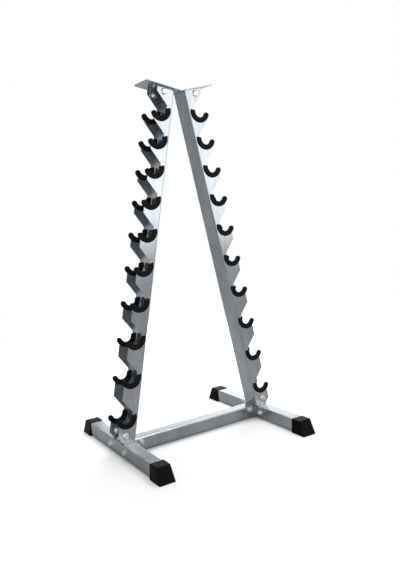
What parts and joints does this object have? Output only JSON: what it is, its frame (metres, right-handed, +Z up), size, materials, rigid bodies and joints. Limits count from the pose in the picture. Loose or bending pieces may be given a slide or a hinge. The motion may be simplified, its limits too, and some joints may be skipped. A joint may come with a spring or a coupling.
{
  "type": "dumbbell rack",
  "caption": "A-frame rack whose leaning uprights have toothed flanges with padded seats, one above another, on a bolted square-tube base.",
  "frame": {"origin": "on the floor, under the middle of the rack", "axes": "+X towards the right-hand upright, +Y to the rear along the runners, +Z up"},
  "size_m": [0.7098, 0.658, 1.3663],
  "materials": {
    "frame_coat": "satin silver-grey metallic powder coat",
    "foot_plastic": "moulded black, slightly glossy",
    "seat_rubber": "matt black",
    "zinc_plate": "bright zinc plate"
  },
  "bodies": {
    "root": {"crossbar": "frame_coat", "left_foot_bracket": "frame_coat", "left_front_corner_bracket": "frame_coat", "left_front_foot_cap": "foot_plastic", "left_front_frame_bolt": "zinc_plate", "left_front_pad_01": "seat_rubber", "left_front_pad_02": "seat_rubber", "left_front_pad_03": "seat_rubber", "left_front_pad_04": "seat_rubber", "left_front_pad_05": "seat_rubber", "left_front_pad_06": "seat_rubber", "left_front_pad_07": "seat_rubber", "left_front_pad_08": "seat_rubber", "left_front_pad_09": "seat_rubber", "left_front_pad_10": "seat_rubber", "left_rear_corner_bracket": "frame_coat", "left_rear_foot_cap": "foot_plastic", "left_rear_frame_bolt": "zinc_plate", "left_rear_pad_01": "seat_rubber", "left_rear_pad_02": "seat_rubber", "left_rear_pad_03": "seat_rubber", "left_rear_pad_04": "seat_rubber", "left_rear_pad_05": "seat_rubber", "left_rear_pad_06": "seat_rubber", "left_rear_pad_07": "seat_rubber", "left_rear_pad_08": "seat_rubber", "left_rear_pad_09": "seat_rubber", "left_rear_pad_10": "seat_rubber", "left_runner": "frame_coat", "left_upright": "frame_coat", "right_foot_bracket": "frame_coat", "right_front_corner_bracket": "frame_coat", "right_front_foot_cap": "foot_plastic", "right_front_frame_bolt": "zinc_plate", "right_front_pad_01": "seat_rubber", "right_front_pad_02": "seat_rubber", "right_front_pad_03": "seat_rubber", "right_front_pad_04": "seat_rubber", "right_front_pad_05": "seat_rubber", "right_front_pad_06": "seat_rubber", "right_front_pad_07": "seat_rubber", "right_front_pad_08": "seat_rubber", "right_front_pad_09": "seat_rubber", "right_front_pad_10": "seat_rubber", "right_rear_corner_bracket": "frame_coat", "right_rear_foot_cap": "foot_plastic", "right_rear_frame_bolt": "zinc_plate", "right_rear_pad_01": "seat_rubber", "right_rear_pad_02": "seat_rubber", "right_rear_pad_03": "seat_rubber", "right_rear_pad_04": "seat_rubber", "right_rear_pad_05": "seat_rubber", "right_rear_pad_06": "seat_rubber", "right_rear_pad_07": "seat_rubber", "right_rear_pad_08": "seat_rubber", "right_rear_pad_09": "seat_rubber", "right_rear_pad_10": "seat_rubber", "right_runner": "frame_coat", "right_upright": "frame_coat", "top_plate": "frame_coat"}
  },
  "joints": []
}
